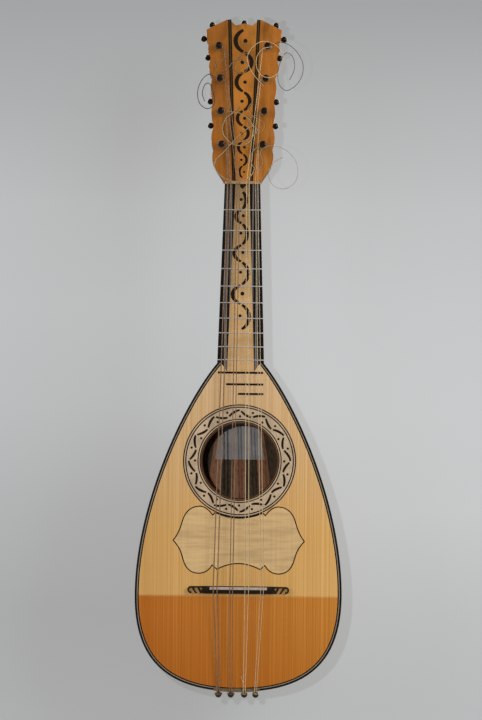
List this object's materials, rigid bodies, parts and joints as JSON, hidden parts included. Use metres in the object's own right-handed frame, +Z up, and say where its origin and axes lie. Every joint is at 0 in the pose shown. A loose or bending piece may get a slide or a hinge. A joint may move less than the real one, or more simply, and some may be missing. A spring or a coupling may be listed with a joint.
{
  "type": "mandolin",
  "caption": "Round-backed mandolin in the old Neapolitan manner, with double courses, a bent soundboard, an inlaid soundhole ring and friction pegs set from behind.",
  "frame": {"origin": "centre of the hanging stud at the top of the head", "axes": "+Z up along the neck towards the head, soundboard faces -Y, bowl swells to +Y, +X to the right as seen from the front"},
  "size_m": [0.176, 0.1332, 0.5775],
  "materials": {
    "spruce": "thin warm varnish over straight close grain",
    "ivory_inlay": "light inlay, satin",
    "dark_inlay": "dark stained inlay, satin",
    "guard_maple": "figured maple, satin",
    "ebony": "ebony, soft polish",
    "pale_line": "light line, satin",
    "rosewood": "rosewood ribs, varnished",
    "brown_rib": "brown ribs, varnished",
    "inner_wood": "bare softwood",
    "head_maple": "orange varnished maple",
    "neck_wood": "varnished hardwood",
    "board_maple": "light maple panel, satin",
    "board_ebony": "streaked dark wood, satin",
    "bone": "bone, polished",
    "fret_metal": "nickel silver wire, polished",
    "peg_wood": "dark stained pegs, polished",
    "pin_horn": "dark horn balls, polished",
    "label_paper": "aged blank paper",
    "wound_string": "dark wound string",
    "gut_string": "pale gut"
  },
  "bodies": {
    "root": {"soundboard": "spruce", "rosette_light_rings": "ivory_inlay", "rosette_dark_rings": "dark_inlay", "rosette_wave": "dark_inlay", "scratchplate": "guard_maple", "scratchplate_line": "dark_inlay", "binding_dark": "ebony", "binding_light": "pale_line", "rim_band": "rosewood", "neck_block": "inner_wood", "tail_block": "inner_wood", "braces": "inner_wood", "rim_liner": "inner_wood", "label": "label_paper", "bowl_ribs_dark": "rosewood", "bowl_ribs_brown": "brown_rib", "neck": "neck_wood", "head": "head_maple", "head_stripes": "dark_inlay", "head_wave": "dark_inlay", "head_studs": "ebony", "fingerboard_centre": "board_maple", "fingerboard_edges": "board_ebony", "fingerboard_wave": "dark_inlay", "nut": "bone", "frets": "fret_metal", "top_frets": "dark_inlay", "bridge": "ebony", "bridge_saddle": "bone", "hitch_pins": "pin_horn", "edge_guard": "bone", "strings_g": "wound_string", "strings_d": "wound_string", "strings_a": "gut_string", "strings_e": "gut_string", "tail_1": "gut_string", "tail_2": "gut_string", "tail_3": "wound_string", "tail_4": "wound_string", "tail_5": "gut_string", "tail_6": "gut_string", "tail_7": "gut_string", "tail_8": "wound_string"},
    "tuning_peg_1": {"peg_1": "peg_wood", "winding_1": "wound_string"},
    "tuning_peg_2": {"peg_2": "peg_wood", "winding_2": "wound_string"},
    "tuning_peg_3": {"peg_3": "peg_wood", "winding_3": "wound_string"},
    "tuning_peg_4": {"peg_4": "peg_wood", "winding_4": "wound_string"},
    "tuning_peg_5": {"peg_5": "peg_wood", "winding_5": "gut_string"},
    "tuning_peg_6": {"peg_6": "peg_wood", "winding_6": "gut_string"},
    "tuning_peg_7": {"peg_7": "peg_wood", "winding_7": "gut_string"},
    "tuning_peg_8": {"peg_8": "peg_wood", "winding_8": "gut_string"}
  },
  "joints": [
    {"name": "peg_1_turn", "type": "hinge", "parent": "root", "child": "tuning_peg_1", "pos_m": [-0.0183, -0.02458, -0.10483], "axis": [0, -0.9848, 0.1736], "continuous": true},
    {"name": "peg_2_turn", "type": "hinge", "parent": "root", "child": "tuning_peg_2", "pos_m": [-0.0192, -0.01955, -0.07633], "axis": [0, -0.9848, 0.1736], "continuous": true},
    {"name": "peg_3_turn", "type": "hinge", "parent": "root", "child": "tuning_peg_3", "pos_m": [-0.0201, -0.01463, -0.04843], "axis": [0, -0.9848, 0.1736], "continuous": true},
    {"name": "peg_4_turn", "type": "hinge", "parent": "root", "child": "tuning_peg_4", "pos_m": [-0.0214, -0.00975, -0.02073], "axis": [0, -0.9848, 0.1736], "continuous": true},
    {"name": "peg_5_turn", "type": "hinge", "parent": "root", "child": "tuning_peg_5", "pos_m": [0.0169, -0.02458, -0.10483], "axis": [0, -0.9848, 0.1736], "continuous": true},
    {"name": "peg_6_turn", "type": "hinge", "parent": "root", "child": "tuning_peg_6", "pos_m": [0.0178, -0.01955, -0.07633], "axis": [0, -0.9848, 0.1736], "continuous": true},
    {"name": "peg_7_turn", "type": "hinge", "parent": "root", "child": "tuning_peg_7", "pos_m": [0.0187, -0.01463, -0.04843], "axis": [0, -0.9848, 0.1736], "continuous": true},
    {"name": "peg_8_turn", "type": "hinge", "parent": "root", "child": "tuning_peg_8", "pos_m": [0.02, -0.00975, -0.02073], "axis": [0, -0.9848, 0.1736], "continuous": true}
  ]
}
